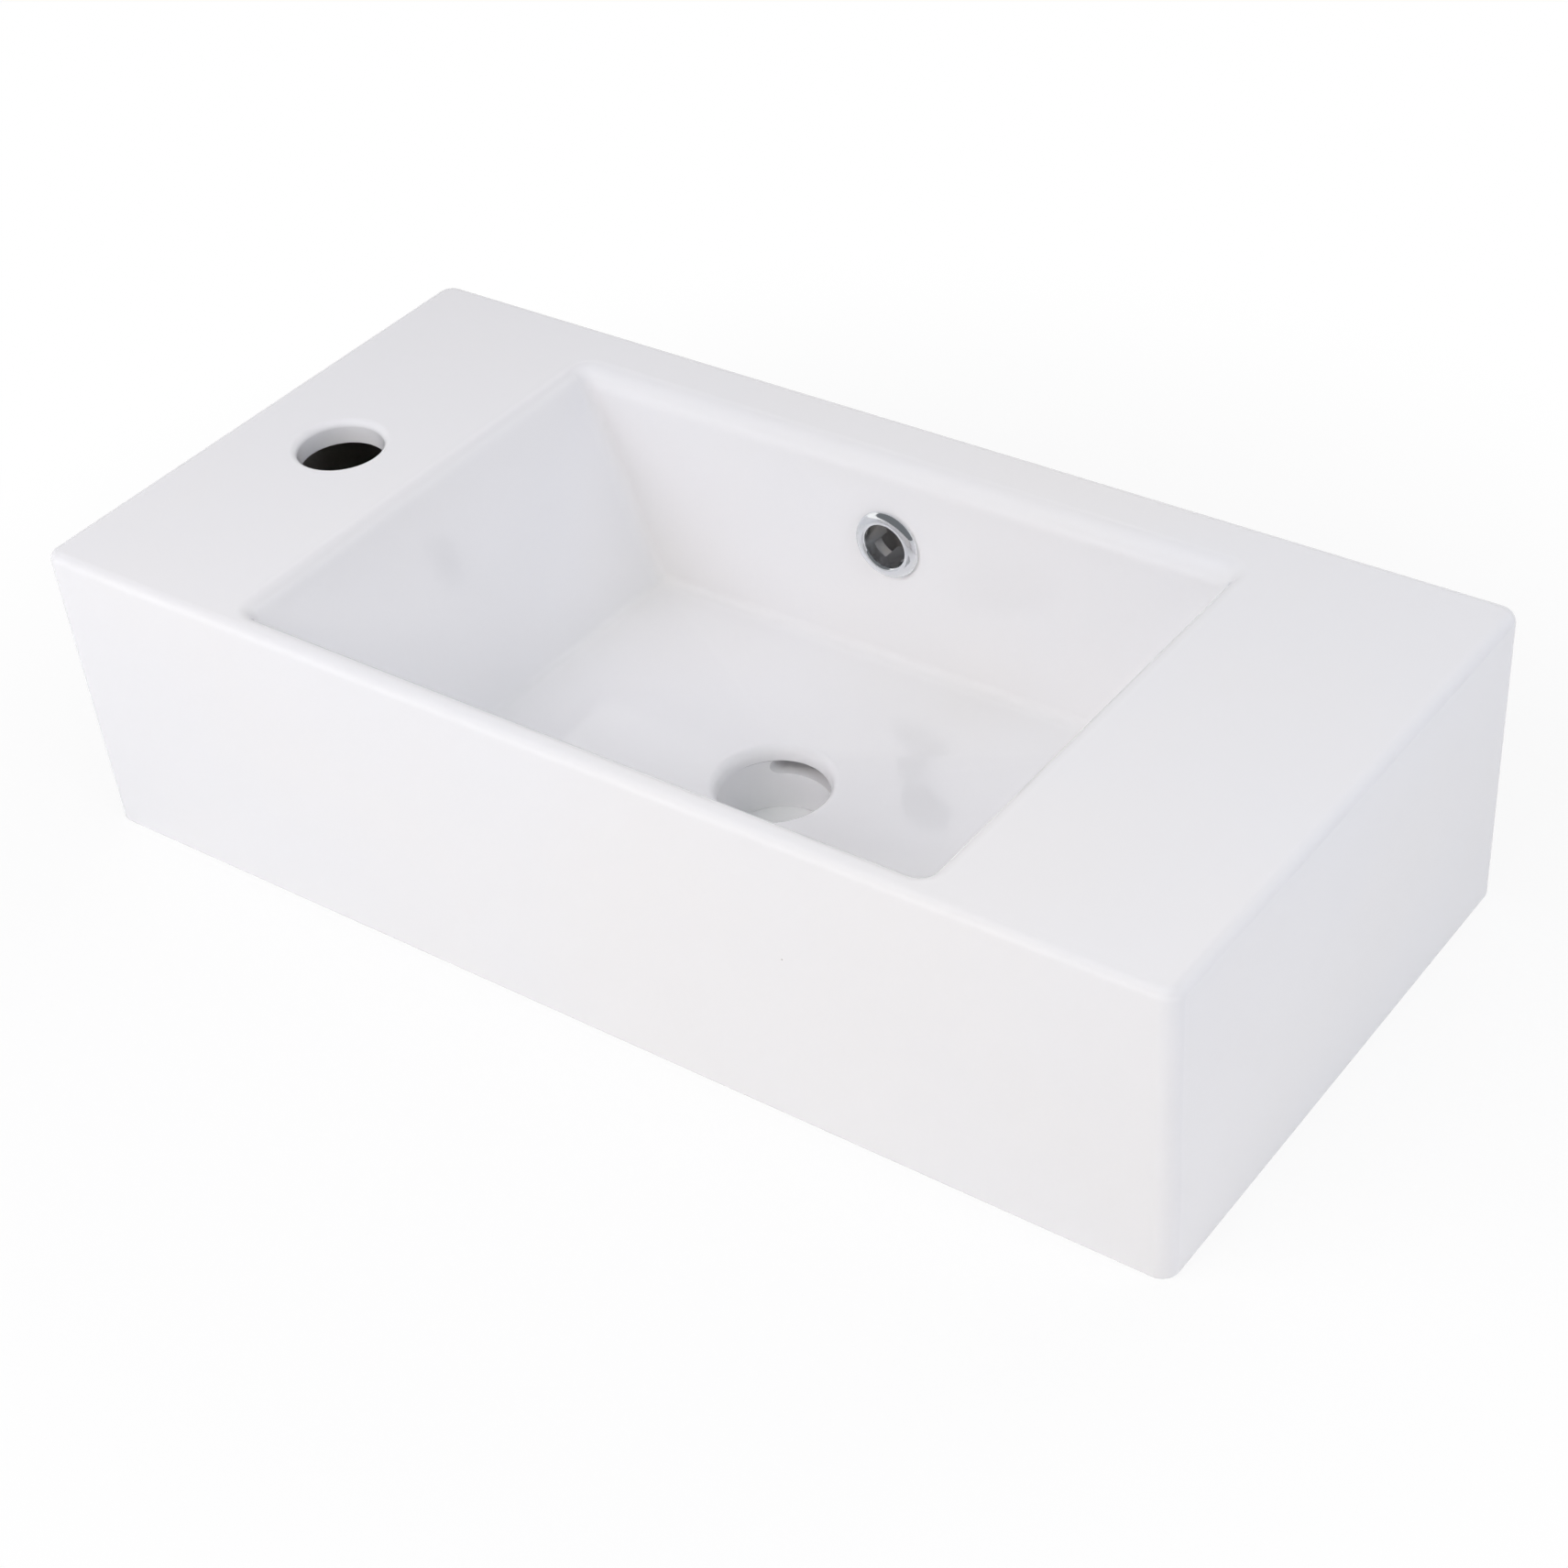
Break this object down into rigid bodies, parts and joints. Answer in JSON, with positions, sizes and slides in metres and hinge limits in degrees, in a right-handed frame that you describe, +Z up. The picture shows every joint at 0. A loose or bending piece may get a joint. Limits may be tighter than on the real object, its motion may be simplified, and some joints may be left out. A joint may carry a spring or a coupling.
{
  "type": "countertop basin",
  "caption": "Rectangular white ceramic basin with a tap hole in its left deck, an off-centre bowl, a round waste hole and a chromed overflow ring.",
  "frame": {"origin": "on the surface that the basin stands on, under the middle of its outline", "axes": "+X to the right along the width, -Y out of the front face, +Y out of the back face towards the wall, +Z up"},
  "size_m": [0.5008, 0.2409, 0.13],
  "materials": {
    "glaze": "gloss",
    "chrome": "polished"
  },
  "bodies": {
    "root": {"basin_body": "glaze", "overflow_ring": "chrome"}
  },
  "joints": []
}
